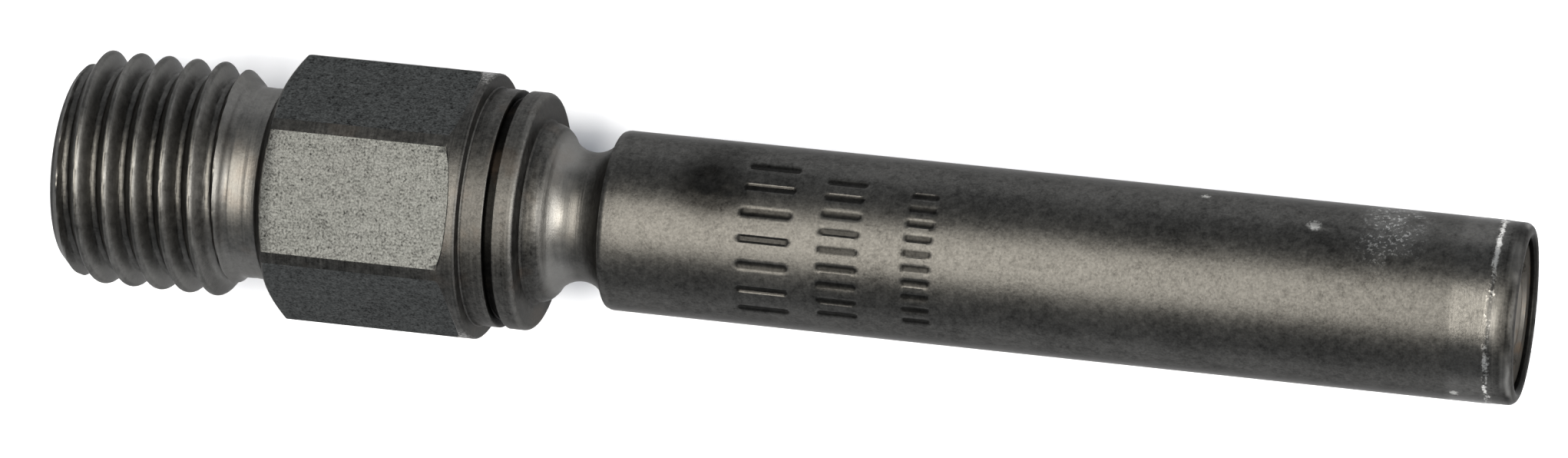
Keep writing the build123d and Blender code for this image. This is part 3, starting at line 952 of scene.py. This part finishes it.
angles = around_the_bar(FLAT_STEPS, LAND_STEPS)
shell = add_object("injector_shell", lathe_mesh("turned_blank", body_rows(angles), angles))
bake(shell, thread_tree(), "injector_shell", Material=FINISHES["blackened_steel"])
tally = tally_tree()
for middle, length, spacing, count, first, depth in TALLY_BANDS:
    bake(
        shell, tally, "injector_shell", Material=FINISHES["blackened_steel"],
        Band_Middle=middle, Bar_Length=length, Bar_Spacing=spacing, Bar_Count=count,
        First_Bar=first, Press_Depth=depth, Bar_Width=BAR_WIDTH,
    )
merge_doubles(shell.data, MERGE_DISTANCE)
soften(shell.data, 24)
mill_the_flats(shell.data)
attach(shell, "housing")
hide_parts("injector_body")

gauze = add_object("filter_gauze", bpy.data.meshes.new("gauze_seed"))
bake(gauze, gauze_tree(), "filter_gauze", Material=FINISHES["steel_gauze"])
face_outwards(gauze.data)
soften(gauze.data, 60)
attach(gauze, "housing")
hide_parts("filter_mesh")

spring = add_object("wound_closing_spring", bpy.data.meshes.new("spring_seed"))
bake(spring, spring_tree(), "wound_closing_spring", Material=FINISHES["spring_steel"])
face_outwards(spring.data)
soften(spring.data, 50)
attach(spring, "housing")
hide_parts("closing_spring")
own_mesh(spring)

CARRIED_OVER = {
    "brass": ("filter_ring", "filter_cage", "filter_cap"),
    "copper": ("sealing_washer",),
    "sooted_steel": ("nozzle_body", "valve_needle"),
    "ground_steel": ("guide_bush", "spring_plate", "retainer_half_a", "retainer_half_b"),
    "spring_steel": ("preload_shim", "closing_spring"),
    "steel_gauze": ("filter_mesh",),
    "blackened_steel": ("injector_body",),
}
for finish, names in CARRIED_OVER.items():
    for name in names:
        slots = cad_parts[name].data.materials
        slots.clear()
        slots.append(FINISHES[finish])


# ---- floor, light and camera
def add_floor():
    """A pale floor that the flange rests on."""
    plane = bpy.data.meshes.new("floor")
    half, level = 4.0, -6.76 * MM
    sides = ((-half, -half), (half, -half), (half, half), (-half, half))
    corners = [(x, y, level) for x, y in sides]
    plane.from_pydata(corners, [], [(0, 1, 2, 3)])
    floor = add_object("floor", plane)
    paint = bpy.data.materials.new("pale_floor")
    paint.use_nodes = True
    sockets = paint.node_tree.nodes["Principled BSDF"].inputs
    sockets["Base Color"].default_value = (0.58, 0.61, 0.67, 1)
    sockets["Roughness"].default_value = 0.9
    sockets["Specular IOR Level"].default_value = 0.2
    plane.materials.append(paint)


def add_softbox(name, place, aim, size_x, size_y, power, colour):
    lamp = bpy.data.lights.new(name, "AREA")
    lamp.shape = "RECTANGLE"
    lamp.size, lamp.size_y, lamp.energy, lamp.color = size_x, size_y, power, colour
    made = bpy.data.objects.new(name, lamp)
    bpy.context.scene.collection.objects.link(made)
    made.location = place
    made.rotation_euler = (Vector(aim) - Vector(place)).to_track_quat("-Z", "Y").to_euler()


def add_world(colour, strength):
    world = bpy.data.worlds.new("studio")
    world.use_nodes = True
    background = world.node_tree.nodes["Background"]
    background.inputs[0].default_value = (*colour, 1)
    background.inputs[1].default_value = strength
    bpy.context.scene.world = world


def add_camera():
    """Looks down on the injector from the tip's side, rolled so that the tip hangs lower."""
    middle = Vector((37.03, 0, 0)) * MM
    turn, lean, roll = math.radians(12.4), math.radians(3.4), math.radians(5.94)
    distance, raised = 380 * MM, 0.41
    flat = math.cos(turn)
    away = Vector((math.sin(turn), flat * math.sin(lean), flat * math.cos(lean)))
    along = (Vector((1, 0, 0)) - away * away.x).normalized()
    up = away.cross(along)
    right = along * math.cos(roll) + up * math.sin(roll)
    upward = away.cross(right)
    eye = bpy.data.cameras.new("camera")
    eye.sensor_width, eye.lens = 36, 174.1
    eye.clip_start, eye.clip_end = 0.01, 20
    made = bpy.data.objects.new("camera", eye)
    bpy.context.scene.collection.objects.link(made)
    place = middle + away * distance + upward * raised * MM
    made.matrix_world = Matrix((
        (right.x, upward.x, away.x, place.x),
        (right.y, upward.y, away.y, place.y),
        (right.z, upward.z, away.z, place.z),
        (0, 0, 0, 1),
    ))
    bpy.context.scene.camera = made


WARM = (1.0, 0.93, 0.82)
PALE = (1.0, 0.96, 0.9)
add_floor()
add_softbox("overhead_strip", (-0.1, 0.0, 0.6), (-0.02, 0, 0), 0.7, 0.12, 8.5, WARM)
add_softbox("key_from_tip_side", (0.40, -0.01, 0.48), (0.037, 0, 0), 0.14, 0.1, 3.6, WARM)
add_softbox("low_box_beyond_the_tip", (0.60, 0.0, 0.24), (0.03, 0, 0), 0.34, 0.42, 8.0, PALE)
add_world((0.94, 0.97, 1.0), 0.62)
add_camera()
bpy.context.scene.view_settings.view_transform = "Standard"
